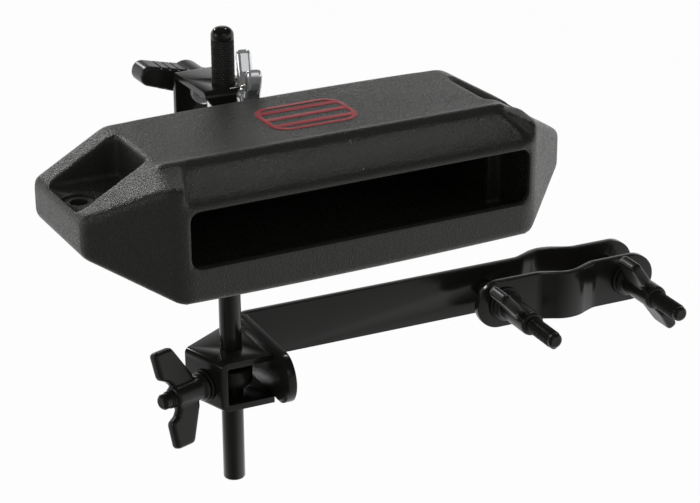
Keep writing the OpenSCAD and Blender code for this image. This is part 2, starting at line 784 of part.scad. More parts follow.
module front_jaw() {
  color([0.05, 0.05, 0.05]) arm_turned() difference() {
    translate([0, 0, -jaw_end_r]) linear_extrude(arm_height) mirror([0, 1])
      jaw_plan(-jaw_end_x - jaw_end_r, jaw_end_x + jaw_end_r);
    for (s = sides) {
      translate([s * clamp_bolt_x, 0, 0]) to_front() cylinder(r = clamp_r + run_gap, h = bulge_r);
      jaw_end_cut(s, -jaw_back - over, -jaw_face + over);
    }
  }
}

module clamp_bolt(s) {
  color([0.05, 0.05, 0.05]) arm_turned() translate([s * clamp_bolt_x, jaw_back, 0]) {
    rotate([-90, 0, 0]) cylinder(r = bolt_head_r, h = bolt_head);
    to_front() cylinder(r = clamp_r, h = jaw_back - bolt_tip);
  }
}

module clamp_bolt_left() {
  clamp_bolt(-1);
}

module clamp_bolt_right() {
  clamp_bolt(1);
}

module clamp_washer(s) {
  color([0.05, 0.05, 0.05]) arm_turned() translate([s * clamp_bolt_x, -jaw_back, 0]) to_front() difference() {
    cylinder(r = clamp_washer_r, h = washer_t);
    translate([0, 0, -over]) cylinder(r = clamp_r + run_gap, h = washer_t + over + over);
  }
}

module clamp_washer_left() {
  clamp_washer(-1);
}

module clamp_washer_right() {
  clamp_washer(1);
}

module clamp_nut(s, turn) {
  color([0.05, 0.05, 0.05]) arm_turned() translate([s * clamp_bolt_x, -nut_seat, 0]) to_front()
    rotate([0, 0, -turn]) butterfly([for (p = wing_sizes) [p.x * clamp_wing_share, p.y]],
      clamp_foot_r, clamp_hub_r, clamp_hub_length, clamp_r);
}

module clamp_nut_left() {
  clamp_nut(-1, clamp_wing_turn);
}

module clamp_nut_right() {
  clamp_nut(1, clamp_wing_turn + right_wing_more);
}

block_body();
red_inlay();
mount_plate();
mount_screw_a();
mount_screw_b();
mount_screw_c();
mount_screw_d();
pivot_stud();
pivot_washer();
pivot_wing_nut();
upper_strap();
upper_eye_bolt();
upper_collar();
ribbed_knob();
rod();
lower_strap();
lower_eye_bolt();
lower_collar();
lower_wing_nut();
arm_bar();
front_jaw();
clamp_bolt_left();
clamp_bolt_right();
clamp_washer_left();
clamp_washer_right();
clamp_nut_left();
clamp_nut_right();
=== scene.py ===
# Woodblock on a rod mount, dressed for a studio picture. Works in metres, sizes below in millimetres.
import bpy
import json
import math
from mathutils import Matrix, Vector


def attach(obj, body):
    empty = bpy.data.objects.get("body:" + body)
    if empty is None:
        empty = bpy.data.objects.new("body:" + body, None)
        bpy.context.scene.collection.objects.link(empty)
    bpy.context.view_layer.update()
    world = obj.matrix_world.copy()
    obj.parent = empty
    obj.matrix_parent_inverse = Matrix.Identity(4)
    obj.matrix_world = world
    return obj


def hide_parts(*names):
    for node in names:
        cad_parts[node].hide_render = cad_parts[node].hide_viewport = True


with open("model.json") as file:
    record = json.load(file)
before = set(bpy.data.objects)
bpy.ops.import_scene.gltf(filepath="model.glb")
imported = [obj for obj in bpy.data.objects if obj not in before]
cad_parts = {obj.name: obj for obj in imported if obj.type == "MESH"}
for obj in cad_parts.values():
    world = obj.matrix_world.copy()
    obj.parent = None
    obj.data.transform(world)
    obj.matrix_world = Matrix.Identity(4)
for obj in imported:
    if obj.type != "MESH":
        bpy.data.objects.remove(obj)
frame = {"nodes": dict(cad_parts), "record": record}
bpy.context.scene.view_settings.view_transform = "Standard"
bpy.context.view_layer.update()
mm = 0.001
smallMesh = 3000
print("frame loaded:", len(frame["nodes"]), "nodes")

# camera, fitted to the block edges
cameraSetup = {"place": (-522.04, -797.18, 414.2), "yaw": 27.49, "pitch": 22.78, "roll": -0.29, "lens": 114.25}


def addCamera(setup):
    yaw, pitch, roll = [math.radians(setup[key]) for key in ("yaw", "pitch", "roll")]
    ahead = Vector((math.sin(yaw) * math.cos(pitch), math.cos(yaw) * math.cos(pitch), -math.sin(pitch)))
    level = Vector((math.cos(yaw), -math.sin(yaw), 0))
    above = level.cross(ahead)
    right = level * math.cos(roll) + above * math.sin(roll)
    up = above * math.cos(roll) - level * math.sin(roll)
    bpy.ops.object.camera_add()
    camera = bpy.context.object
    camera.name = "studioCamera"
    turn = Matrix((right, up, -ahead)).transposed().to_4x4()
    camera.matrix_world = Matrix.Translation(Vector(setup["place"]) * mm) @ turn
    camera.data.lens = setup["lens"]
    camera.data.sensor_width = 36
    camera.data.clip_start = 0.05
    camera.data.clip_end = 30
    bpy.context.scene.camera = camera


addCamera(cameraSetup)
print("camera placed")


# small modelling helpers
def deselect():
    if bpy.context.object and bpy.context.object.mode != "OBJECT":
        bpy.ops.object.mode_set(mode="OBJECT")
    bpy.ops.object.select_all(action="DESELECT")


def makeActive(piece):
    deselect()
    piece.select_set(True)
    bpy.context.view_layer.objects.active = piece


def settle(piece):
    # the mesh takes the place, the object goes back to the origin
    makeActive(piece)
    bpy.ops.object.transform_apply(location=True, rotation=True, scale=True)
    return piece


def pickEdges(piece, test):
    # leaves the piece in edit mode with only the chosen edges selected
    makeActive(piece)
    bpy.ops.object.mode_set(mode="EDIT")
    bpy.ops.mesh.select_mode(type="EDGE")
    bpy.ops.mesh.select_all(action="DESELECT")
    bpy.ops.object.mode_set(mode="OBJECT")
    mesh = piece.data
    for edge in mesh.edges:
        edge.select = test(*[mesh.vertices[index].co for index in edge.vertices])
    bpy.ops.object.mode_set(mode="EDIT")


def leaveEdit():
    bpy.ops.object.mode_set(mode="OBJECT")


def outward(piece):
    makeActive(piece)
    bpy.ops.object.mode_set(mode="EDIT")
    bpy.ops.mesh.select_all(action="SELECT")
    bpy.ops.mesh.remove_doubles(threshold=1e-6)
    bpy.ops.mesh.normals_make_consistent(inside=False)
    leaveEdit()
    return piece


def applyModifier(piece, kind, **settings):
    makeActive(piece)
    modifier = piece.modifiers.new("step", kind)
    for key, value in settings.items():
        setattr(modifier, key, value)
    bpy.ops.object.modifier_apply(modifier=modifier.name)
    return piece


def soften(piece, width, segments=3, angle=40, clamp=True):
    return applyModifier(piece, "BEVEL", width=width * mm, segments=segments, limit_method="ANGLE",
                         angle_limit=math.radians(angle), use_clamp_overlap=clamp, miter_outer="MITER_ARC")


def combine(piece, operation, *others, **settings):
    for other in others:
        applyModifier(piece, "BOOLEAN", operation=operation, solver="EXACT", object=other, **settings)
        bpy.data.objects.remove(other)
    return piece


def cut(piece, *cutters):
    # crossing faces of the piece itself are looked for in small meshes only
    for cutter in cutters:
        combine(piece, "DIFFERENCE", cutter, use_self=len(piece.data.polygons) < smallMesh)
    return piece


def keep(piece, shape):
    return combine(piece, "INTERSECT", shape)


def join(piece, *others):
    return combine(piece, "UNION", *others)


def prism(name, outline, low, high, axis="z"):
    # an outline drawn as a filled circle whose points are moved, then extruded
    deselect()
    bpy.ops.mesh.primitive_circle_add(vertices=len(outline), radius=0.01, fill_type="NGON")
    piece = bpy.context.object
    piece.name = name
    place = {"z": lambda a, b: (a, b, low), "y": lambda a, b: (a, low, b), "x": lambda a, b: (low, a, b)}[axis]
    for vert, (a, b) in zip(piece.data.vertices, outline):
        vert.co = Vector(place(a, b)) * mm
    along = {"z": (0, 0, 1), "y": (0, 1, 0), "x": (1, 0, 0)}[axis]
    bpy.ops.object.mode_set(mode="EDIT")
    bpy.ops.mesh.select_all(action="SELECT")
    bpy.ops.mesh.extrude_region_move(TRANSFORM_OT_translate={"value": Vector(along) * (high - low) * mm})
    bpy.ops.mesh.select_all(action="SELECT")
    bpy.ops.mesh.normals_make_consistent(inside=False)
    leaveEdit()
    return piece


def lathe(name, profile, steps=48):
    # a closed profile of (radius, height) spun round Z
    deselect()
    bpy.ops.mesh.primitive_circle_add(vertices=len(profile), radius=0.01, fill_type="NOTHING")
    piece = bpy.context.object
    piece.name = name
    for vert, (radius, height) in zip(piece.data.vertices, profile):
        vert.co = Vector((radius, 0, height)) * mm
    bpy.ops.object.mode_set(mode="EDIT")
    bpy.ops.mesh.select_all(action="SELECT")
    bpy.ops.mesh.spin(steps=steps, angle=math.tau, center=(0, 0, 0), axis=(0, 0, 1))
    bpy.ops.mesh.select_all(action="SELECT")
    bpy.ops.mesh.remove_doubles(threshold=2e-6)
    bpy.ops.mesh.dissolve_degenerate(threshold=1e-7)
    bpy.ops.mesh.delete_loose(use_verts=True, use_edges=True, use_faces=False)
    bpy.ops.mesh.select_all(action="SELECT")
    bpy.ops.mesh.normals_make_consistent(inside=False)
    leaveEdit()
    return piece


def stand(piece, place, direction, roll=0):
    # turns a piece modelled along Z so that Z points along direction, at a place
    direction = Vector(direction).normalized()
    side = Vector((0, 0, 1)) if abs(direction.z) < 0.9 else Vector((0, 1, 0))
    first = (side - direction * side.dot(direction)).normalized()
    second = direction.cross(first)
    turn = Matrix((first, second, direction)).transposed().to_4x4()
    spin = Matrix.Rotation(math.radians(roll), 4, "Z")
    piece.matrix_world = Matrix.Translation(Vector(place) * mm) @ turn @ spin
    return settle(piece)


def arcPoints(center, radius, start, end, steps):
    return [(center[0] + radius * math.cos(math.radians(start + (end - start) * i / steps)),
             center[1] + radius * math.sin(math.radians(start + (end - start) * i / steps)))
            for i in range(steps + 1)]


def roundedOutline(points, radii, steps=6):
    outline = []
    for i, point in enumerate(points):
        here = Vector(point)
        before = (Vector(points[i - 1]) - here).normalized()
        after = (Vector(points[(i + 1) % len(points)]) - here).normalized()
        radius = radii[i] if isinstance(radii, (list, tuple)) else radii
        if radius <= 0:
            outline.append(tuple(here))
            continue
        half = before.angle(after) / 2
        center = here + (before + after).normalized() * radius / math.sin(half)
        start = here + before * radius / math.tan(half) - center
        end = here + after * radius / math.tan(half) - center
        turn = math.atan2(start.x * end.y - start.y * end.x, start.dot(end))
        base = math.atan2(start.y, start.x)
        outline += [(center.x + radius * math.cos(base + turn * k / steps),
                     center.y + radius * math.sin(base + turn * k / steps)) for k in range(steps + 1)]
    return outline


def box(x0, y0, x1, y1):
    return [(x0, y0), (x1, y0), (x1, y1), (x0, y1)]


# shared shader groups
def newGroup(name, inputs, outputs):
    group = bpy.data.node_groups.new(name, "ShaderNodeTree")
    for label, kind, value in inputs:
        socket = group.interface.new_socket(name=label, in_out="INPUT", socket_type=kind)
        if value is not None:
            socket.default_value = value
    for label, kind in outputs:
        group.interface.new_socket(name=label, in_out="OUTPUT", socket_type=kind)
    start = group.nodes.new("NodeGroupInput")
    end = group.nodes.new("NodeGroupOutput")
    return group, start, end


def addNode(tree, kind, **settings):
    # a key that starts with in_ fills an input, named or numbered, with a value or another node's output
    node = tree.nodes.new(kind)
    for key, value in settings.items():
        if not key.startswith("in_"):
            setattr(node, key, value)
            continue
        label = key[3:].replace("_", " ")
        socket = node.inputs[int(label) if label.isdigit() else label]
        if isinstance(value, bpy.types.NodeSocket):
            tree.links.new(value, socket)
        else:
            socket.default_value = value
    return node


def addMath(tree, operation, *values):
    return addNode(tree, "ShaderNodeMath", operation=operation,
                   **{f"in_{i}": value for i, value in enumerate(values)}).outputs[0]


def makeGrainGroup():
    # moulded or sprayed grain: fine pips over a slow swell
    group, start, end = newGroup(
        "surfaceGrain",
        [("Position", "NodeSocketVector", None), ("Grain Scale", "NodeSocketFloat", 1500.0),
         ("Swell Scale", "NodeSocketFloat", 120.0), ("Swell Share", "NodeSocketFloat", 0.3)],
        [("Height", "NodeSocketFloat"), ("Speck", "NodeSocketFloat")])
    given = start.outputs
    fine = addNode(group, "ShaderNodeTexNoise", in_Vector=given["Position"], in_Scale=given["Grain Scale"],
                   in_Detail=3.0, in_Roughness=0.6).outputs["Fac"]
    slow = addNode(group, "ShaderNodeTexNoise", in_Vector=given["Position"], in_Scale=given["Swell Scale"],
                   in_Detail=2.0, in_Roughness=0.5).outputs["Fac"]
    swell = addMath(group, "MULTIPLY", slow, given["Swell Share"])
    speck = addNode(group, "ShaderNodeMapRange", in_Value=fine, in_From_Min=0.52, in_From_Max=0.72)
    group.links.new(addMath(group, "ADD", fine, swell), end.inputs["Height"])
    group.links.new(speck.outputs[0], end.inputs["Speck"])
    return group


def makeToneGroup():
    # slow colour drift plus a rubbed look on outer edges
    group, start, end = newGroup(
        "wornTone",
        [("Position", "NodeSocketVector", None), ("Base", "NodeSocketColor", (0.03, 0.03, 0.03, 1)),
         ("Rubbed", "NodeSocketColor", (0.1, 0.1, 0.1, 1)), ("Drift Scale", "NodeSocketFloat", 60.0),
         ("Drift", "NodeSocketFloat", 0.15), ("Wear", "NodeSocketFloat", 0.2)],
        [("Color", "NodeSocketColor"), ("Cloud", "NodeSocketFloat")])
    given = start.outputs
    cloud = addNode(group, "ShaderNodeTexNoise", in_Vector=given["Position"], in_Scale=given["Drift Scale"],
                    in_Detail=4.0, in_Roughness=0.55).outputs["Fac"]
    drift = addMath(group, "MULTIPLY_ADD", addMath(group, "SUBTRACT", cloud, 0.5), given["Drift"], 1.0)
    tinted = addNode(group, "ShaderNodeVectorMath", operation="SCALE", in_0=given["Base"], in_Scale=drift)
    edges = addNode(group, "ShaderNodeNewGeometry")
    ramp = addNode(group, "ShaderNodeMapRange", in_Value=edges.outputs["Pointiness"],
                   in_From_Min=0.54, in_From_Max=0.66)
    amount = addMath(group, "MULTIPLY", addMath(group, "MULTIPLY", ramp.outputs[0], cloud), given["Wear"])
    mixed = addNode(group, "ShaderNodeMix", data_type="RGBA", in_Factor=amount, in_6=tinted.outputs[0],
                    in_7=given["Rubbed"])
    group.links.new(mixed.outputs[2], end.inputs["Color"])
    group.links.new(cloud, end.inputs["Cloud"])
    return group


grainGroup = makeGrainGroup()
toneGroup = makeToneGroup()


def makeFinish(name, base, roughness, metallic=0.0, rubbed=None, drift=0.2, wear=0.2, grainScale=1500.0,
               swellScale=120.0, swellShare=0.3, bump=0.02, roughSpread=0.08, specular=0.5, speck=None):
    material = bpy.data.materials.new(name)
    material.use_nodes = True
    tree = material.node_tree
    shader = tree.nodes["Principled BSDF"]
    place = addNode(tree, "ShaderNodeTexCoord").outputs["Object"]
    rubbed = rubbed or [min(1, c * 2.2 + 0.02) for c in base]
    tone = addNode(tree, "ShaderNodeGroup", node_tree=toneGroup, in_Position=place, in_Base=(*base, 1),
                   in_Rubbed=(*rubbed, 1), in_Drift=drift, in_Wear=wear)
    grain = addNode(tree, "ShaderNodeGroup", node_tree=grainGroup, in_Position=place, in_Grain_Scale=grainScale,
                    in_Swell_Scale=swellScale, in_Swell_Share=swellShare)
    colour = tone.outputs["Color"]
    rough = addNode(tree, "ShaderNodeMapRange", in_Value=tone.outputs["Cloud"],
                    in_To_Min=max(0.02, roughness - roughSpread),
                    in_To_Max=min(1.0, roughness + roughSpread)).outputs[0]
    if speck:
        # the tops of the grain are paler and glossier
        tops = grain.outputs["Speck"]
        colour = addNode(tree, "ShaderNodeMix", data_type="RGBA", in_Factor=tops, in_6=colour,
                         in_7=(*speck, 1)).outputs[2]
        rough = addNode(tree, "ShaderNodeMix", data_type="FLOAT", in_Factor=tops, in_2=rough,
                        in_3=roughness * 0.3).outputs[0]
    relief = addNode(tree, "ShaderNodeBump", in_Strength=1.0, in_Distance=bump * mm,
                     in_Height=grain.outputs["Height"])
    for source, label in ((colour, "Base Color"), (rough, "Roughness"), (relief.outputs["Normal"], "Normal")):
        tree.links.new(source, shader.inputs[label])
    shader.inputs["Metallic"].default_value = metallic
    shader.inputs["Specular IOR Level"].default_value = specular
    return material


finishes = {
    "body_plastic": makeFinish(
        "charcoalMoulding", (0.0172, 0.0176, 0.0132), 0.39, drift=0.1, wear=0.3, bump=0.3, grainScale=1300.0,
        swellScale=260.0, swellShare=0.5, rubbed=(0.05, 0.05, 0.052), speck=(0.028, 0.028, 0.026)),
    "red_paint": makeFinish(
        "redInlay", (0.33, 0.012, 0.022), 0.42, drift=0.25, wear=0.1, bump=0.06, grainScale=1300.0,
        speck=(0.4, 0.03, 0.035)),
    "black_paint": makeFinish(
        "glossPowderCoat", (0.0095, 0.0093, 0.0078), 0.2, drift=0.3, wear=0.25, bump=0.012, grainScale=420.0,
        swellScale=90.0, roughSpread=0.05, specular=0.35, rubbed=(0.03, 0.03, 0.032)),
    "black_rod": makeFinish(
        "glossRodBlack", (0.0095, 0.0093, 0.0078), 0.18, drift=0.3, wear=0.5, bump=0.008, grainScale=600.0,
        roughSpread=0.05, specular=0.4, rubbed=(0.035, 0.035, 0.037)),
    "black_plastic": makeFinish(
        "ribbedKnobBlack", (0.012, 0.012, 0.0108), 0.32, drift=0.3, wear=0.4, bump=0.02, grainScale=900.0,
        specular=0.45, rubbed=(0.05, 0.05, 0.05)),
    "black_bolt": makeFinish(
        "blackOxideThread", (0.0105, 0.0102, 0.0088), 0.34, drift=0.4, wear=0.4, bump=0.01, specular=0.3,
        rubbed=(0.05, 0.048, 0.045)),
    "black_nut": makeFinish(
        "castNutBlack", (0.011, 0.0107, 0.0092), 0.32, drift=0.3, wear=0.35, bump=0.02, grainScale=700.0,
        specular=0.35, rubbed=(0.04, 0.04, 0.042)),
    "steel": makeFinish(
        "screwSteel", (0.5, 0.5, 0.52), 0.3, metallic=1.0, wear=0.1, bump=0.01),
    "zinc_steel": makeFinish(
        "brownedStud", (0.42, 0.33, 0.22), 0.35, metallic=1.0, drift=0.5, wear=0.1, bump=0.02),
    "chrome_plate": makeFinish(
        "brightChrome", (0.93, 0.94, 0.96), 0.08, metallic=0.72, drift=0.05, wear=0.0, bump=0.004,
        roughSpread=0.03, grainScale=300.0)}
print("finishes made:", len(finishes))


def dress(piece, slotName, body, node, smooth=35):
    makeActive(piece)
    bpy.ops.object.shade_smooth_by_angle(angle=math.radians(smooth))
    piece.data.materials.clear()
    piece.data.materials.append(finishes[slotName])
    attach(piece, body)
    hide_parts(node)


# shared places and forms
rodAt = (-169.844, -9.38)
postAt = (-169.4, -15.45)
armTurn = -2.05
blockAt = (-156.044, -103.88, 77)


def move(piece, matrix):
    piece.matrix_world = matrix @ piece.matrix_world
    return settle(piece)


def shift(piece, x, y, z):
    return move(piece, Matrix.Translation(Vector((x, y, z)) * mm))


def atRod(piece):
    return shift(piece, *rodAt, 0)


def turnWithArm(piece):
    # pieces of the lower bracket are modelled along X and turn with the arm about the clamp's centre
    return move(piece, Matrix.Rotation(math.radians(armTurn), 4, "Z"))


def atPost(piece):
    return turnWithArm(shift(piece, *postAt, 0))


def spun(piece, angle):
    piece.rotation_euler = (0, 0, angle)
    return settle(piece)


def drill(name, radius, low, high, steps=48):
    return lathe(name, [(0, low), (radius, low), (radius, high), (0, high)], steps)


def ring(name, inner, outer, low, high, edge, steps=56):
    # a ring round Z with softened rims
    soft, corner = edge * 0.6, edge * 0.3
    profile = [(inner + soft, low), (outer - edge, low), (outer - corner, low + corner), (outer, low + edge),
               (outer, high - edge), (outer - corner, high - corner), (outer - edge, high), (inner + soft, high),
               (inner, high - soft), (inner, low + soft)]
    return lathe(name, profile, steps)


def threaded(name, radius, depth, start, end, pitch, tip, steps):
    # a rod with ring shaped thread grooves and a tapered tip, closed through the axis
    lead, crest, rise, fall = 0.4, depth * 0.15, 0.38, 0.56
    root = radius - depth
    profile = [(0, start), (root, start)]
    count = int((end - tip - start - pitch) / pitch)
    for i in range(count):
        low = start + lead + i * pitch
        profile += [(root, low), (radius - crest, low + pitch * rise), (radius - crest, low + pitch * fall)]
    profile += [(root, start + lead + count * pitch), (root, end - tip * 0.8),
                (root - tip * 0.35, end - tip * 0.3), (root - tip * 0.8, end), (0, end)]
    return lathe(name, profile, steps)


def eyeBolt(name, spec, along):
    # an eye round the rod, with its threaded stud pointing along a direction
    z, high = spec["eye"], spec["ringHigh"] / 2
    eye = ring(name, spec["bore"], spec["ring"], z - high, z + high, spec["ringEdge"])
    shank = stand(threaded("eyeShank", spec["stud"], *spec["thread"]), (0, 0, z), along)
    return outward(join(eye, shank))


def twin(piece):
    makeActive(piece)
    bpy.ops.object.duplicate()
    return bpy.context.object


def bothSides(points):
    # mirrors half an outline whose first and last points lie on the axis
    return points + [(-a, b) for a, b in points[-2:0:-1]]


def castSmooth(piece, voxel, passes):
    # melts a union together into the soft fillets of a casting
    applyModifier(piece, "REMESH", mode="VOXEL", voxel_size=voxel * mm)
    applyModifier(piece, "SMOOTH", factor=0.5, iterations=passes)
    return outward(piece)


# block body
block = {
    "length": 208.2, "flat": (-74.3, 76.2), "depth": 76.5, "height": 48.1, "facet": 24.7, "endLow": 16.1,
    "endHigh": 31.4, "crown": 0.9, "stations": (-72, 74, 9), "corner": 4.2, "cornerSteps": 7, "edge": 2.6,
    "slot": (-70.3, 14.1, 75, 36.7), "slotRadius": 4, "slotDeep": 8, "clear": 4,
    "earDrop": 2.3, "earPad": [(60, 1), (74.5, 1), (80.6, 5.5), (81.4, 16), (79.5, 21), (60, 21)],
    "padLow": 36, "padSink": 0.1, "padEdge": 1.6,
    "ridge": [(21.2, 47), (27, 47.6), (27, 48.1), (24.6, 48.35), (22.4, 49.2), (21.2, 49.2)], "ridgeIn": 1.5,
    "scoopReach": 21.2, "scoopBack": (-64.5, 71.5), "scoopFront": (-72.6, 77.6), "scoopCorner": 3.5,
    "scoopAhead": 6, "scoopLow": 20, "scoopSide": 90,
    "scoop": [(0, 38.2), (0.7, 39.1), (2, 40), (4, 41), (7, 42.3), (10, 43.4), (13, 44.3), (16, 45.1),
              (18.4, 45.9), (20, 46.8), (20.8, 47.6), (21.2, 48.1)],
    "hollow": [(5, 5), (72, 5), (72, 43.6), (22.5, 43.6), (17, 41.6), (5, 37)], "hollowEnds": (-69, 71),
    "hollowFront": [(4, 5), (26, 5), (26, 43.4), (22.5, 43.4), (17, 41.4), (4, 36.9)], "hollowPast": 2,
    "pocket": (73.5, 31.7, 102.2, 64), "pocketFloor": 30.5, "pocketTop": 60, "pocketRadius": 3,
    "hole": (96, 47.5), "holeRadius": 3.5, "holeLow": -5, "seatRadius": 6.4, "seatDepth": 0.8,
    "voxel": 1.05, "melt": 4}


def bisect(piece, point, normal, fill=True):
    # cuts off what lies beyond a plane, or without fill only adds a row of edges there
    makeActive(piece)
    bpy.ops.object.mode_set(mode="EDIT")
    bpy.ops.mesh.select_all(action="SELECT")
    bpy.ops.mesh.bisect(plane_co=Vector(point) * mm, plane_no=Vector(normal).normalized(),
                        use_fill=fill, clear_outer=fill, threshold=1e-6)
    leaveEdit()


def makeBlock(spec):
    half, reach, clear = spec["length"] / 2, spec["scoopReach"], spec["clear"]
    depth, height = spec["depth"], spec["height"]
    left, right = spec["flat"]
    deselect()
    bpy.ops.mesh.primitive_cube_add(size=1, location=(0, depth / 2 * mm, height / 2 * mm))
    body = bpy.context.object
    body.name = "blockShell"
    body.scale = (spec["length"] * mm, depth * mm, height * mm)
    settle(body)
    for side, flat in ((-1, left), (1, right)):
        rise = half - abs(flat)
        bisect(body, (flat, 0, height), (side * (height - spec["endHigh"]), 0, rise))
        bisect(body, (flat, 0, 0), (side * spec["endLow"], 0, -rise))
        bisect(body, (flat, 0, 0), (side * spec["facet"], -rise, 0))
    bisect(body, (0, reach, height), (0, -spec["earDrop"], reach))
    outward(body)
    # the upright edges between the front and its facets are rounded on their own, more than the others
    near = 1e-5
    pickEdges(body, lambda a, b: min(abs(a.x - left * mm), abs(a.x - right * mm)) < near
              and abs(a.x - b.x) < near and a.y < near and b.y < near and abs(a.z - b.z) > 0.02)
    bpy.ops.mesh.bevel(offset=spec["corner"] * mm, segments=spec["cornerSteps"], affect="EDGES")
    leaveEdit()
    soften(body, spec["edge"], segments=4, angle=12, clamp=False)
    # stations along the flat part let the top and underside carry a slight crown
    for station in range(*spec["stations"]):
        bisect(body, (station, 0, 0), (1, 0, 0), fill=False)
    for vert in body.data.vertices:
        x, y, z = vert.co / mm
        lift = spec["crown"] * max(0, 1 - (x / right) ** 2)
        back, front, up = max(0, (y - reach) / (depth - reach)), 1 - y / depth, z / height
        vert.co.z += lift * (up * back - (1 - up) * front) * mm
    # the right ear stands a little proud of the ramp, and a low lip runs along the crease
    padTop = height - spec["padSink"]
    pad = prism("earPad", spec["earPad"], spec["padLow"], padTop)
    bisect(pad, (0, reach, padTop), (0, -spec["earDrop"], reach))
    join(body, soften(outward(pad), spec["padEdge"], angle=20),
         prism("creaseRidge", spec["ridge"], left + spec["ridgeIn"], right - spec["ridgeIn"], "x"))
    profile = [(-clear, height + clear), (-clear, spec["scoop"][0][1])] + spec["scoop"] + [(reach, height + clear)]
    scoop = prism("scoopCutter", profile, -spec["scoopSide"], spec["scoopSide"], "x")
    (backLeft, backRight), (frontLeft, frontRight) = spec["scoopBack"], spec["scoopFront"]
    ahead, corner = spec["scoopAhead"], spec["scoopCorner"]
    lean = (frontRight - backRight) / reach * ahead
    plan = roundedOutline([(frontLeft - lean, -ahead), (frontRight + lean, -ahead), (backRight, reach + 0.2),
                           (backLeft, reach + 0.2)], [0, 0, corner, corner])
    keep(scoop, prism("scoopPlan", plan, spec["scoopLow"], height + 3))
    opening = roundedOutline(box(*spec["slot"]), spec["slotRadius"])
    mouth = prism("slotCutter", opening, -clear, spec["slotDeep"], "y")
    inside = prism("hollowCutter", spec["hollow"], *spec["hollowEnds"], "x")
    ends = prism("hollowEnds", spec["hollowFront"], spec["slot"][0] - spec["hollowPast"],
                 spec["slot"][2] + spec["hollowPast"], "x")
    pockets, wells = [], []
    x0, y0, x1, y1 = spec["pocket"]
    floor, top, hole, seat = spec["pocketFloor"], spec["pocketTop"], spec["holeRadius"], spec["seatRadius"]
    under = floor - spec["seatDepth"]
    for side in (-1, 1):
        a, b = sorted((side * x0, side * x1))
        pockets.append(prism("pocketCutter", roundedOutline(box(a, y0, b, y1), spec["pocketRadius"]), floor, top))
        well = lathe("holeCutter", [(0, spec["holeLow"]), (hole, spec["holeLow"]), (hole, under), (seat, under),
                                    (seat, top), (0, top)])
        wells.append(stand(well, (side * spec["hole"][0], spec["hole"][1], 0), (0, 0, 1)))
    cut(body, scoop, mouth, inside, ends, *pockets)
    castSmooth(body, spec["voxel"], spec["melt"])
    outward(cut(body, *wells))
    shift(body, *blockAt)
    print("block faces:", len(body.data.polygons))
    dress(body, "body_plastic", "sound_block", "block_body", smooth=40)


makeBlock(block)
print("block body done")

# red inlay
inlay = {"at": (0.8, 48.5), "length": 38, "width": 27, "radius": 8, "steps": 10, "rim": 2, "bar": 3, "pitch": 7.6,
         "barShort": 0.6, "low": 47.6, "high": 48.22, "edge": 0.22, "flat": 74.6}


def makeInlay(spec):
    half, wide, rim, low, high = spec["length"] / 2, spec["width"] / 2, spec["rim"], spec["low"], spec["high"]
    frameRing = prism("redInlay", roundedOutline(box(-half, -wide, half, wide), spec["radius"], spec["steps"]),
                      low, high)
    cut(frameRing, prism("inlayHole", roundedOutline(box(rim - half, rim - wide, half - rim, wide - rim),
                                                     spec["radius"] - rim, spec["steps"]), low - 1, high + 1))
    for row in (-1, 0, 1):
        middle = row * spec["pitch"]
        reach = half - rim / 2 if row == 0 else half - rim / 2 - spec["barShort"]
        join(frameRing, prism("inlayBar", box(-reach, middle - spec["bar"] / 2, reach, middle + spec["bar"] / 2),
                              low, high))
    soften(outward(frameRing), spec["edge"], segments=2)
    shift(frameRing, *spec["at"], 0)
    # it follows the crown of the body's top
    for vert in frameRing.data.vertices:
        x, y = vert.co.x / mm, vert.co.y / mm
        back = (y - block["scoopReach"]) / (block["depth"] - block["scoopReach"])
        vert.co.z += block["crown"] * (1 - (x / spec["flat"]) ** 2) * back * mm
    dress(shift(frameRing, *blockAt), "red_paint", "sound_block", "red_inlay", smooth=40)


makeInlay(inlay)

# mount plate and its screws
mount = {"half": 25, "low": 85, "high": 111.1, "back": -18, "thick": 2.5, "rounds": [3, 3, 0.6, 0.6], "edge": 0.5,
         "shelf": (5.6, 22), "shelfBack": 15.5, "shelfRounds": [0, 0, 2.5, 2.5],
         "screwOut": 19, "screwHigh": (90, 103), "twist": 20, "slotWide": 0.9, "slotLong": 4.2, "slotDeep": 1.3,
         "head": [(0, -1.5), (1.9, -1.5), (1.9, 0), (3.5, 0), (3.8, 0.3), (3.7, 0.9), (3.1, 1.7), (2.1, 2.2),
                  (1, 2.4), (0, 2.4)]}


def makeMount(spec):
    back, thick, high, half = spec["back"], spec["thick"], spec["high"], spec["half"]
    plate = prism("mountPlate", roundedOutline(box(-half, spec["low"], half, high), spec["rounds"]),
                  back, back + thick, "y")
    join(plate, prism("mountShelf", roundedOutline(box(spec["shelf"][0], back, spec["shelf"][1], spec["shelfBack"]),
                                                   spec["shelfRounds"]), high - thick, high))
    soften(outward(plate), spec["edge"])
    dress(atRod(plate), "black_paint", "sound_block", "mount_plate")
    top, wide, length = spec["head"][-1][1], spec["slotWide"] / 2, spec["slotLong"] / 2
    spots = [(side * spec["screwOut"], z) for z in spec["screwHigh"] for side in (-1, 1)]
    for letter, (x, z) in zip("abcd", spots):
        head = lathe("screw" + letter.upper(), spec["head"], 32)
        cuts = [spun(prism("recess", box(-length, -wide, length, wide), top - spec["slotDeep"], top + 1),
                     math.radians(turn + spec["twist"] * x / spec["screwOut"] + z)) for turn in (0, 90)]
        outward(cut(head, *cuts))
        stand(head, (x, back + thick, z), (0, 1, 0))
        dress(atRod(head), "steel", "sound_block", "mount_screw_" + letter, smooth=30)


makeMount(mount)

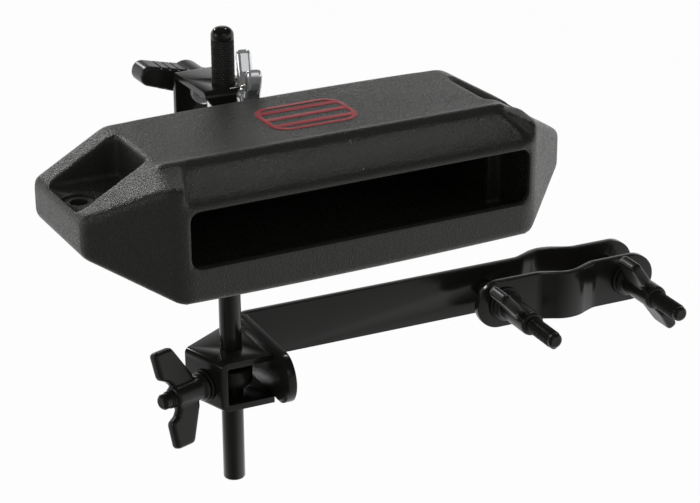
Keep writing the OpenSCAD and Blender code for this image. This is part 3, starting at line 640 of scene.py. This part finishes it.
# pivot stud, washer and chrome wing nut
pivot = {"at": (14, 5.6), "under": 108.6, "radius": 3, "thread": (0.35, 1.0), "top": 123,
         "foot": 113.6, "washer": 6, "washerThick": 1.2, "washerEdge": 0.3, "seat": 114.85, "wing": 6.8,
         "wingEdge": 3, "voxel": 0.32, "melt": 8, "turn": -15.8,
         "head": [(0, -3.4), (2.4, -3.35), (4.5, -2.55), (5.7, -1.36), (6, -0.5), (5.7, 0), (0, 0)],
         "hub": [(0, 0), (4.8, 0), (5, 1.2), (4.6, 5), (3.8, 6.6), (0, 6.6)],
         "outline": [(0, 0.6), (5.4, 0.8), (8, 1.8), (10, 4.4), (11.6, 7), (14.6, 10.2), (16, 13.2), (16.2, 16.4),
                     (15.4, 18.2), (13.8, 18.8), (12, 18), (10.4, 14.6), (8.6, 10.8), (6.6, 8), (4.6, 6.4), (0, 6)],
         "dentRadius": 1.7, "dentHalf": 2.6, "dentAt": (12.6, 0.7, 12), "dentLean": 26, "boreGap": 0.06}


def makePivot(spec):
    x, y = rodAt[0] + spec["at"][0], rodAt[1] + spec["at"][1]
    under, (deep, pitch) = spec["under"], spec["thread"]
    stud = lathe("pivotStud", [(a, under + b) for a, b in spec["head"]])
    join(stud, threaded("pivotShank", spec["radius"], deep, under - 1, spec["top"], pitch, 1, 32))
    dress(shift(outward(stud), x, y, 0), "zinc_steel", "sound_block", "pivot_stud", smooth=30)
    washer = ring("pivotWasher", spec["radius"], spec["washer"], 0, spec["washerThick"], spec["washerEdge"], 48)
    dress(shift(washer, x, y, spec["foot"]), "chrome_plate", "sound_block", "pivot_washer", smooth=30)
    half = spec["wing"] / 2
    nut = prism("pivotWingNut", bothSides(spec["outline"]), -half, half, "y")
    soften(nut, spec["wingEdge"], segments=6, angle=50)
    join(nut, lathe("nutHub", spec["hub"], 40))
    castSmooth(nut, spec["voxel"], spec["melt"])
    # a long shallow hollow in each wing face
    radius, long, (out, off, up) = spec["dentRadius"], spec["dentHalf"], spec["dentAt"]
    dents = []
    for side, face in ((-1, -1), (-1, 1), (1, -1), (1, 1)):
        capsule = arcPoints((0, -long), radius, -90, 0, 6) + arcPoints((0, long), radius, 0, 90, 6)
        dent = lathe("wingDent", capsule, 20)
        place = Matrix.Translation(Vector((side * out, face * (half + off), up)) * mm)
        dents.append(move(dent, place @ Matrix.Rotation(math.radians(side * spec["dentLean"]), 4, "Y")))
    cut(nut, drill("nutBore", spec["radius"] + spec["boreGap"], -1, 9, 32), *dents)
    spun(outward(nut), math.radians(spec["turn"] + 90))
    dress(shift(nut, x, y, spec["seat"]), "chrome_plate", "pivot_nut", "pivot_wing_nut", smooth=60)


makePivot(pivot)
print("inlay, mount and pivot done")

# upper strap, eye bolt, collar and knob
upper = {"top": [(-12.3, -9.8), (1.4, -9.8), (6, -3.5), (6, 23.7), (-12.3, 23.7)], "topRounds": [1, 1.2, 2, 1, 1],
         "high": 127.4, "thick": 2.5, "front": -9.8, "back": 23.7, "low": 101, "left": -12.3, "right": 6,
         "bend": 2.8, "edge": 0.5, "flangeRounds": [2, 2, 0, 0],
         "flange": [(-12.3, 127.4), (-12.3, 125.8), (-8.6, 120.6), (-8.6, 111.1), (22, 111.1), (22, 116),
                    (18, 119), (4, 120), (1.4, 122), (1.4, 127.4)],
         "foot": (5.6, 22), "footTop": 113.6, "footBack": 15.5, "footRounds": [0, 0, 2, 2],
         "eye": 118.6, "bore": 4.85, "ring": 7.1, "ringHigh": 8, "ringEdge": 1.2, "stud": 3.1,
         "thread": (0.4, 6, 40.6, 1.0, 1, 36), "collar": 6.2, "collarThick": 3, "collarEdge": 0.8}
knob = {"span": 24.8, "thick": 8.2, "root": 10.8, "low": 5.2, "top": 17.2, "tip": 3.9, "edge": 1.1, "tilt": 16.5,
        "voxel": 0.35, "melt": 6,
        "hub": [(0, 0), (6.2, 0), (7, 0.5), (7.2, 1.4), (7.2, 16.4), (6.6, 17.5), (5.4, 18), (0, 18)],
        "grooveFirst": 8.8, "groovePitch": 4, "grooves": 3, "grooveWide": 0.8, "grooveDeep": 0.8, "off": 0.05}


def makeUpper(spec):
    thick, high, frontY, backY = spec["thick"], spec["high"], spec["front"], spec["back"]
    strap = prism("upperStrap", roundedOutline(spec["top"], spec["topRounds"], 4), high - thick, high)
    front = prism("frontFlange", spec["flange"], frontY, frontY + thick, "y")
    back = prism("backFlange", roundedOutline(box(spec["left"], spec["low"], spec["right"], high),
                                              spec["flangeRounds"]), backY - thick, backY, "y")
    join(strap, front, back)
    keep(strap, prism("bendShape", roundedOutline(box(frontY, spec["low"] - 1, backY, high),
                                                  [0, 0, spec["bend"], spec["bend"]], 8), -30, 30, "x"))
    join(strap, prism("strapFoot", roundedOutline(box(spec["foot"][0], frontY, spec["foot"][1], spec["footBack"]),
                                                  spec["footRounds"]), spec["footTop"] - thick, spec["footTop"]))
    cut(strap, drill("rodBore", spec["bore"], high - 8, high + 3))
    soften(outward(strap), spec["edge"], angle=38)
    dress(atRod(strap), "black_paint", "sound_block", "upper_strap", smooth=32)
    eye = eyeBolt("upperEyeBolt", spec, (0, 1, 0))
    dress(atRod(eye), "chrome_plate", "sound_block", "upper_eye_bolt", smooth=30)
    collar = ring("upperCollar", spec["stud"], spec["collar"], 0, spec["collarThick"], spec["collarEdge"])
    stand(collar, (0, backY - thick - spec["collarThick"], spec["eye"]), (0, 1, 0))
    dress(atRod(collar), "chrome_plate", "sound_block", "upper_collar", smooth=30)


def makeKnob(spec, high, back):
    span, low, top, tip = spec["span"], spec["low"], spec["top"], spec["tip"]
    half, root = spec["thick"] / 2, spec["root"] / 2
    bar = prism("ribbedKnob", roundedOutline([(-span, -half), (0, -root), (span, -half), (span, half), (0, root),
                                              (-span, half)], [tip, 0, tip, tip, 0, tip], 8), low, top)
    soften(bar, spec["edge"], segments=4)
    join(bar, lathe("knobHub", spec["hub"]))
    castSmooth(bar, spec["voxel"], spec["melt"])
    wide, deep = spec["grooveWide"] / 2, spec["grooveDeep"]
    for side, face in ((-1, -1), (-1, 1), (1, -1), (1, 1)):
        for i in range(spec["grooves"]):
            x = spec["grooveFirst"] + i * spec["groovePitch"]
            surface = root - (root - half) * x / span
            rail = prism("groove", roundedOutline(box(x - wide, surface - deep, x + wide, surface + 1), 0.3, 3),
                         low - 1, top + 1)
            cut(bar, outward(move(rail, Matrix.Diagonal((side, face, 1, 1)))))
    spun(bar, math.radians(spec["tilt"]))
    place = Matrix.Translation(Vector((0, back + spec["off"], high)) * mm)
    move(bar, place @ Matrix.Rotation(-math.pi / 2, 4, "X"))
    dress(atRod(bar), "black_plastic", "knob", "ribbed_knob", smooth=60)


makeUpper(upper)
makeKnob(knob, upper["eye"], upper["back"])
print("upper bracket done")

# rod with a knurled upper end
rodSpec = {"radius": 4.7625, "low": -54.1, "high": 151.1, "dome": 3.6, "knurl": (112, 146.6), "depth": 0.4,
           "pitch": 1.25, "around": 24, "samples": 6, "slant": 1.6, "fade": 0.8, "sharp": 2.2}


def makeRod(spec):
    radius, low, high, around = spec["radius"], spec["low"], spec["high"], spec["around"]
    start, end = spec["knurl"]
    rings = int((end - start) / spec["pitch"] * spec["samples"])
    profile = [(0, low), (radius - 0.9, low), (radius - 0.25, low + 0.3), (radius, low + 0.9)]
    profile += [(radius, z) for z in (-20, 20, 60, start - 0.6)]
    profile += [(radius, start + (end - start) * i / rings) for i in range(rings + 1)]
    profile += arcPoints((radius - spec["dome"], high - spec["dome"]), spec["dome"], 0, 90, 10)[1:-1] + [(0, high)]
    post = lathe("knurledRod", profile, around * spec["samples"])
    # two families of slanting grooves cross over the knurled length and fade out at its ends
    for vert in post.data.vertices:
        z = vert.co.z / mm
        if start - 0.01 <= z <= end + 0.01 and vert.co.xy.length > (radius - 0.05) * mm:
            turn = math.atan2(vert.co.y, vert.co.x) * around / math.tau
            rise = (z - start) / spec["pitch"] / spec["slant"]
            one, two = [abs((turn + way * rise) % 1 - 0.5) * 2 for way in (1, -1)]
            fade = min(1, (z - start) / spec["fade"], (end - z) / spec["fade"])
            vert.co.xy *= 1 - spec["depth"] * (max(one, two) ** spec["sharp"]) * max(0, fade) / radius
    dress(atRod(post), "black_rod", "post", "rod", smooth=50)


makeRod(rodSpec)
print("rod done")

# lower strap, eye bolt, collar and nut
lower = {"top": 8.6, "low": -14, "thick": 2.8, "bend": 3, "start": (13.3, -15.5), "face": 15.6, "lean": 20,
         "long": 23.5, "back": (2.9, 20.1), "end": (13.3, 27), "rounds": [0, 1, 1.2, 3, 0], "edge": 0.55,
         "bore": 4.9, "eye": -4, "ring": 9, "ringHigh": 8, "ringEdge": 1.2, "stud": 3.9,
         "thread": (0.5, 7.5, 40.3, 1.25, 1.6, 44), "collar": 7, "collarThick": 1.5, "collarEdge": 0.45,
         "nutSeat": 17.15, "nutTurn": 18.5}
butterfly = {"thick": 5, "edge": 1.7, "footHigh": 2, "voxel": 0.4, "melt": 6}
lowerNut = {"name": "lowerNut", "foot": 6.4, "barrel": 5.1, "high": 16.8, "bore": 3.96, "share": 1.0,
            "wing": [(0, 5), (5, 4.4), (7, 4.6), (19.6, 11.2), (20.8, 12), (21.2, 13.2), (21.2, 20), (20.8, 21.2),
                     (19.8, 21.8), (10.6, 21.6), (9.2, 21), (7.4, 17.6), (5, 15.8), (0, 15.6)]}
clampNut = {"name": "clampNut", "foot": 7.3, "barrel": 5.6, "high": 24.4, "bore": 4.06, "share": 0.94,
            "wing": [(0, 5.6), (5, 4.9), (7, 4.9), (20.2, 9), (21.5, 10), (22, 11.6), (22, 21.4), (21.5, 22.6),
                     (20.4, 23.2), (11.2, 24), (9.6, 23.6), (7.6, 20.6), (5, 18.8), (0, 18.6)]}


def makeButterfly(spec):
    # a cast nut: barrel on a foot with two wings, melted together
    wing = [(a * spec["share"], b) for a, b in spec["wing"]]
    nut = prism(spec["name"], bothSides(wing), -butterfly["thick"] / 2, butterfly["thick"] / 2, "y")
    soften(nut, butterfly["edge"], segments=4, angle=50)
    foot, step, barrel, high = spec["foot"], butterfly["footHigh"], spec["barrel"], spec["high"]
    join(nut, lathe("nutBarrel", [(0, 0), (foot - 0.4, 0), (foot, 0.5), (foot, step - 0.5), (foot - 0.5, step),
                                  (barrel + 0.6, step + 0.3), (barrel, step + 1.2), (barrel, high - 1.3),
                                  (barrel - 0.4, high - 0.4), (barrel - 1.2, high), (0, high)]))
    castSmooth(nut, butterfly["voxel"], butterfly["melt"])
    return outward(cut(nut, drill("nutBore", spec["bore"], -2, high + 2, 40)))


def makeLower(spec):
    thick, low, top, lean = spec["thick"], spec["low"], spec["top"], math.radians(spec["lean"])
    face = Vector((-math.cos(lean), -math.sin(lean))) * spec["face"]
    run = Vector((-math.sin(lean), math.cos(lean)))
    first = face - run * ((face.y - spec["start"][1]) / run.y)
    outline = [spec["start"], tuple(first), tuple(first + run * spec["long"]), spec["back"], spec["end"]]
    strap = prism("lowerStrap", roundedOutline(outline, spec["rounds"]), low, top)
    bends, inside = [
        spun(prism(name, roundedOutline(box(inset - spec["face"], low + inset, 60, top - inset),
                                        [rounding, 0, 0, rounding], 8), -60, 60, "y"), lean)
        for name, inset, rounding in (("bendShape", 0, spec["bend"]), ("strapInside", thick, 1))]
    keep(strap, bends)
    cut(strap, inside, drill("rodBore", spec["bore"], low - 2, top + 2))
    soften(outward(strap), spec["edge"], angle=38)
    dress(atPost(strap), "black_paint", "carrier", "lower_strap", smooth=32)
    along = (-math.cos(lean), -math.sin(lean), 0)
    dress(atPost(eyeBolt("lowerEyeBolt", spec, along)), "black_bolt", "carrier", "lower_eye_bolt", smooth=30)
    collar = ring("lowerCollar", spec["stud"], spec["collar"], 0, spec["collarThick"], spec["collarEdge"])
    nut = makeButterfly(lowerNut)
    for piece, out, roll, says in (
            (collar, spec["face"], 0, ("black_bolt", "carrier", "lower_collar")),
            (nut, spec["nutSeat"], spec["nutTurn"], ("black_nut", "lower_nut", "lower_wing_nut"))):
        stand(piece, (along[0] * out, along[1] * out, spec["eye"]), along, roll)
        dress(atPost(piece), *says, smooth=50)


makeLower(lower)
print("lower bracket done")

# arm, front jaw, clamp bolts and nuts
clamp = {"thick": 3.6, "half": 11.3, "endX": -156.1, "endY": -35.45, "bend": 5, "face": 7.6, "bulge": 12.7,
         "slope": 24, "cross": 7, "blend": 9, "endOut": 35.2, "edge": 0.6, "boltX": 32.5, "hole": 4.05,
         "bolt": 3.95, "thread": (1.25, 1.4, 44), "threadDeep": 0.55, "tip": -57.2, "turns": (46, 57), "gap": 0.05,
         "head": [(0, -3.4), (2.96, -3.35), (5.18, -2.72), (6.882, -1.53), (7.4, -0.7), (7.3, -0.1), (6.9, 0),
                  (0, 0)],
         "washer": 8.2, "washerBore": 4.06, "washerThick": 1.5, "washerEdge": 0.4}


def jawLine(spec, distance, radius, blend):
    # one face of a jaw with its bulge, as points and corner radii from left to right
    slope, cross = math.radians(spec["slope"]), math.radians(spec["cross"])
    wide = (radius * math.cos(cross) / math.cos(slope) - distance) / math.tan(slope)
    arc = arcPoints((0, 0), radius, 90 + spec["slope"] + spec["cross"], 90 - spec["slope"] - spec["cross"], 16)
    return [(-wide, distance)] + arc + [(wide, distance)], [blend] + [0] * len(arc) + [blend]


def stadium(left, right, half, leftRound, rightRound):
    outline = arcPoints((right, 0), half, -90, 90, 28) if rightRound else [(right, -half), (right, half)]
    return outline + (arcPoints((left, 0), half, 90, 270, 28) if leftRound else [(left, half), (left, -half)])


def makeClamp(spec):
    thick, face, half, end = spec["thick"], spec["face"], spec["half"], spec["endOut"]
    back, reach, tall = face + thick, end + half + 1, half + 1
    inner, innerRadii = jawLine(spec, face, spec["bulge"], spec["blend"] + thick)
    outer, outerRadii = jawLine(spec, back, spec["bulge"] + thick, spec["blend"])
    x, y = spec["endX"], spec["endY"]
    points = [(x, y - half - 1), (x + thick, y - half - 1), (x + thick, face)] + inner \
        + [(reach, face), (reach, back)] + outer[::-1] + [(x, back)]
    radii = [0, 0, spec["bend"] - thick] + innerRadii + [0, 0] + outerRadii + [spec["bend"]]
    arm = prism("armBar", roundedOutline(points, radii, 10), -tall, tall)
    keep(arm, prism("armEnd", stadium(x - 2, end, half, False, True), y - half - 3, 30, "y"))
    keep(arm, prism("plateEnd", stadium(y, 30, half, True, False), x - 3, 60, "x"))
    points = [(-reach, face)] + inner + [(reach, face), (reach, back)] + outer[::-1] + [(-reach, back)]
    radii = [0] + innerRadii + [0, 0] + outerRadii + [0]
    jaw = prism("frontJaw", roundedOutline([(a, -b) for a, b in points], radii, 10), -tall, tall)
    keep(jaw, prism("jawEnds", stadium(-end, end, half, True, True), -30, 5, "y"))
    for piece, low, body, node in ((arm, 0, "carrier", "arm_bar"), (jaw, -30, "jaw", "front_jaw")):
        for side in (-1, 1):
            hole = drill("boltHole", spec["hole"], low, low + 28, 40)
            cut(piece, stand(hole, (side * spec["boltX"], 0, 0), (0, 1, 0)))
        soften(outward(piece), spec["edge"], angle=38)
        dress(turnWithArm(piece), "black_paint", body, node, smooth=32)
    bolt = lathe("clampBolt", spec["head"], 56)
    outward(join(bolt, threaded("clampShank", spec["bolt"], spec["threadDeep"], -1, back - spec["tip"],
                                *spec["thread"])))
    washer = ring("clampWasher", spec["washerBore"], spec["washer"], 0, spec["washerThick"], spec["washerEdge"])
    lefts = (bolt, washer, makeButterfly(clampNut))
    rights = [twin(piece) for piece in lefts]
    ahead, nutOut = (0, -1, 0), back + spec["washerThick"] + spec["gap"]
    for side, word, turn, (bolt, washer, nut) in ((-1, "left", spec["turns"][0], lefts),
                                                  (1, "right", spec["turns"][1], rights)):
        out = side * spec["boltX"]
        stand(bolt, (out, back, 0), ahead)
        dress(turnWithArm(bolt), "black_bolt", "carrier", "clamp_bolt_" + word, smooth=30)
        stand(washer, (out, -back, 0), ahead)
        dress(turnWithArm(washer), "black_bolt", "jaw", "clamp_washer_" + word, smooth=30)
        stand(nut, (out, -nutOut, 0), ahead, -90 - turn)
        dress(turnWithArm(nut), "black_nut", word + "_nut", "clamp_nut_" + word, smooth=60)


makeClamp(clamp)
print("arm and clamp done")

# studio
studio = {"floor": -300, "floorSize": 9, "floorBack": 1.5, "floorGlow": 0.96, "center": (-0.15, -0.05),
          "behind": (0.75, 0.66, 0.0), "mirrorFrom": -1.2, "mirrorTo": 0.5, "mirrorDark": 0.08, "mirrorBright": 1.0,
          "fill": 0.55, "skyLow": 0.16, "skyHigh": 0.46, "skyTop": 0.02}
# small lamps, each with its place, aim, size and power
lamps = [
    ("backBox", (-330, 1250, 780), (-150, 0, 80), (200, 120), 3.2),
    ("topLamp", (430, 620, 1080), (-150, 0, 80), (70, 70), 1.1),
    ("leftBox", (-1500, 100, 500), (-150, 0, 80), (600, 600), 2),
    ("frontBox", (-200, -1500, 1100), (-150, 0, 60), (1100, 700), 1.6)]
white = (1, 1, 1, 1)


def addMirrorRamp(tree, spec, direction):
    # what a mirror sees is dark before the object and bright behind it
    facing = addNode(tree, "ShaderNodeVectorMath", operation="DOT_PRODUCT", in_0=direction, in_1=spec["behind"])
    return addNode(tree, "ShaderNodeMapRange", interpolation_type="SMOOTHSTEP", in_Value=facing.outputs["Value"],
                   in_From_Min=spec["mirrorFrom"], in_From_Max=spec["mirrorTo"],
                   in_To_Min=spec["mirrorDark"], in_To_Max=spec["mirrorBright"]).outputs[0]


def makeFloor(spec):
    deselect()
    bpy.ops.mesh.primitive_plane_add(size=spec["floorSize"], location=(0, spec["floorBack"], spec["floor"] * mm))
    floor = bpy.context.object
    floor.name = "paleFloor"
    material = bpy.data.materials.new("paleFloorWhite")
    material.use_nodes = True
    tree = material.node_tree
    shader = tree.nodes["Principled BSDF"]
    for label, value in (("Base Color", (0.8, 0.8, 0.8, 1)), ("Roughness", 0.9), ("Specular IOR Level", 0.1)):
        shader.inputs[label].default_value = value
    # it glows for the camera and for mirrors only, so it lights nothing by itself
    path = addNode(tree, "ShaderNodeLightPath").outputs
    offset = addNode(tree, "ShaderNodeVectorMath", operation="SUBTRACT",
                     in_0=addNode(tree, "ShaderNodeNewGeometry").outputs["Position"],
                     in_1=(*spec["center"], spec["floor"] * mm))
    outwards = addNode(tree, "ShaderNodeVectorMath", operation="NORMALIZE", in_0=offset.outputs[0])
    level = addMath(tree, "MAXIMUM", addMirrorRamp(tree, spec, outwards.outputs[0]), path["Is Camera Ray"])
    glow = addNode(tree, "ShaderNodeEmission", in_Color=white, in_Strength=level)
    seen = addMath(tree, "MAXIMUM", path["Is Camera Ray"], path["Is Glossy Ray"])
    blend = addNode(tree, "ShaderNodeMixShader", in_Fac=addMath(tree, "MULTIPLY", seen, spec["floorGlow"]),
                    in_1=shader.outputs[0], in_2=glow.outputs[0])
    tree.links.new(blend.outputs[0], tree.nodes["Material Output"].inputs["Surface"])
    floor.data.materials.append(material)


def makeWorld(spec):
    world = bpy.data.worlds.new("studioWorld")
    bpy.context.scene.world = world
    world.use_nodes = True
    tree = world.node_tree
    tree.nodes.clear()
    path = addNode(tree, "ShaderNodeLightPath").outputs
    way = addNode(tree, "ShaderNodeTexCoord").outputs["Generated"]
    split = addNode(tree, "ShaderNodeSeparateXYZ", in_0=way)
    fade = addNode(tree, "ShaderNodeMapRange", interpolation_type="SMOOTHSTEP", in_Value=split.outputs["Z"],
                   in_From_Min=spec["skyLow"], in_From_Max=spec["skyHigh"], in_To_Min=1.0, in_To_Max=spec["skyTop"])
    mirrored = addMath(tree, "MULTIPLY", addMirrorRamp(tree, spec, way), fade.outputs[0])
    # the camera sees white, mirrors see the ramp up to a low height, and all else gets an even fill
    lit, shiny, seen = [addNode(tree, "ShaderNodeBackground", in_Color=white, in_Strength=strength).outputs[0]
                        for strength in (spec["fill"], mirrored, 1.0)]
    mirrors = addMath(tree, "MAXIMUM", path["Is Glossy Ray"], path["Is Transmission Ray"])
    around = addNode(tree, "ShaderNodeMixShader", in_Fac=mirrors, in_1=lit, in_2=shiny).outputs[0]
    total = addNode(tree, "ShaderNodeMixShader", in_Fac=path["Is Camera Ray"], in_1=around, in_2=seen).outputs[0]
    addNode(tree, "ShaderNodeOutputWorld", in_Surface=total)


def addLamp(name, place, aim, size, power):
    deselect()
    bpy.ops.object.light_add(type="AREA", location=Vector(place) * mm)
    lamp = bpy.context.object
    lamp.name = name
    lamp.data.shape = "RECTANGLE"
    lamp.data.size, lamp.data.size_y = [value * mm for value in size]
    lamp.data.energy = power
    lamp.visible_camera = False
    lamp.rotation_euler = (Vector(aim) - Vector(place)).to_track_quat("-Z", "Y").to_euler()


makeFloor(studio)
makeWorld(studio)
for lamp in lamps:
    addLamp(*lamp)
print("studio done")

# anything still carried over from the frame gets its real finish
for part in frame["record"]["subparts"]:
    node = frame["nodes"][part["node"]]
    node.data.materials.clear()
    node.data.materials.append(finishes[part["material_slot"]])
print("frame nodes dressed")
